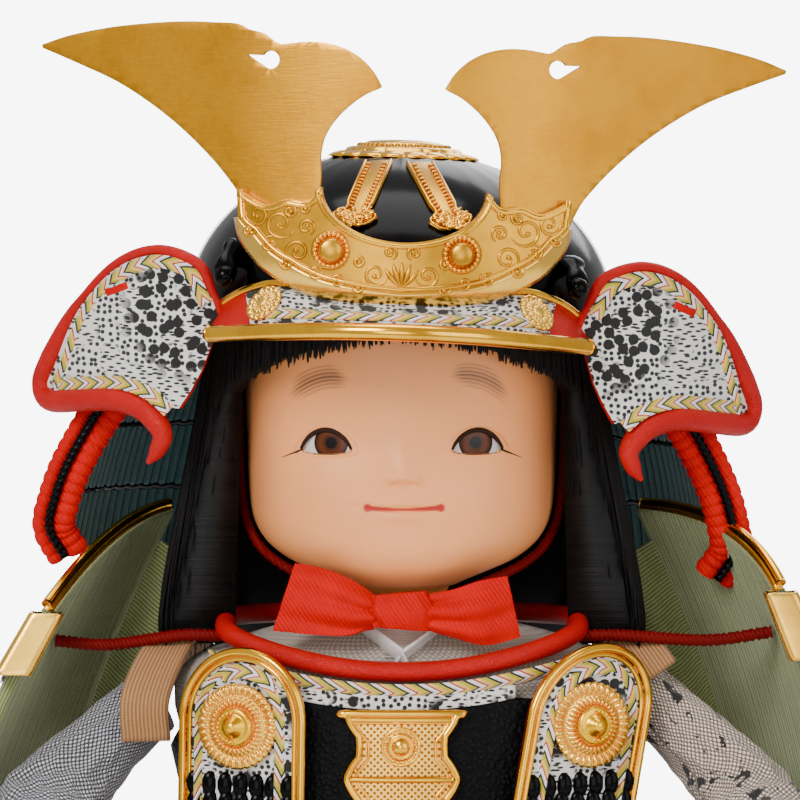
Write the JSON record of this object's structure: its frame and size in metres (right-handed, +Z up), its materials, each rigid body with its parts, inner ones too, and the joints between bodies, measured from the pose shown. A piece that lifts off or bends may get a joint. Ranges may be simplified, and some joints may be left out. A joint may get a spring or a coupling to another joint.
{
  "type": "samurai doll",
  "caption": "Seated warrior doll in a horned helmet with turned-out ear flaps, laced neck guard, chest armour, shoulder guards and wide brocade sleeves, shown as a display figure",
  "frame": {"origin": "middle of the bounding box in plan, on the underside of the trousers that the doll sits on", "axes": "+X to the doll's left as it is seen from the front, -Y the way the doll faces, +Z up"},
  "size_m": [0.2043, 0.172, 0.2432],
  "materials": {
    "gold_metal": "satin antique gold",
    "black_lacquer": "glossy black lacquer",
    "black_hair": "fine black strands",
    "skin_paint": "satin painted skin",
    "eye_glass": "polished glass",
    "red_leather": "soft leather and ribbon",
    "patterned_cloth": "printed woven cloth",
    "white_cloth": "plain woven cloth",
    "red_lacing": "tufted silk lacing",
    "brocade": "ribbed brocade",
    "tan_satin": "satin band"
  },
  "bodies": {
    "root": {"boot_left": "black_lacquer", "boot_right": "black_lacquer", "bowl_strap_left": "gold_metal", "bowl_strap_right": "gold_metal", "breast_plate_left": "patterned_cloth", "breast_plate_right": "patterned_cloth", "chest_plaque": "gold_metal", "chin_bow": "red_leather", "chin_cord_left": "red_leather", "chin_cord_right": "red_leather", "crest_base": "gold_metal", "crest_stud_left": "gold_metal", "crest_stud_right": "gold_metal", "crown_ring": "gold_metal", "cuirass": "black_lacquer", "ear_flap_left": "patterned_cloth", "ear_flap_right": "patterned_cloth", "eye_left": "eye_glass", "eye_right": "eye_glass", "flap_piping_left": "red_leather", "flap_piping_right": "red_leather", "guard_crown_left": "gold_metal", "guard_crown_right": "gold_metal", "guard_end_left": "gold_metal", "guard_end_right": "gold_metal", "guard_panel_left": "red_lacing", "guard_panel_right": "red_lacing", "hand_left": "skin_paint", "hand_right": "skin_paint", "head": "skin_paint", "helmet_bowl": "black_lacquer", "horn_left": "gold_metal", "horn_right": "gold_metal", "neck_guard_1": "red_lacing", "neck_guard_2": "red_lacing", "neck_guard_3": "red_lacing", "neck_guard_4": "red_lacing", "neck_piping": "red_leather", "rosette_left": "gold_metal", "rosette_right": "gold_metal", "shoulder_cord_left": "red_leather", "shoulder_cord_right": "red_leather", "shoulder_strap_left": "tan_satin", "shoulder_strap_right": "tan_satin", "side_bracket_left": "black_lacquer", "side_bracket_right": "black_lacquer", "sleeve_left": "brocade", "sleeve_right": "brocade", "tasset_back": "red_lacing", "tasset_front": "red_lacing", "tasset_left": "red_lacing", "tasset_right": "red_lacing", "torso": "patterned_cloth", "trousers": "brocade", "under_collar": "white_cloth", "visor": "patterned_cloth", "visor_rim": "gold_metal", "visor_rosette_left": "gold_metal", "visor_rosette_right": "gold_metal", "wig": "black_hair"}
  },
  "joints": []
}
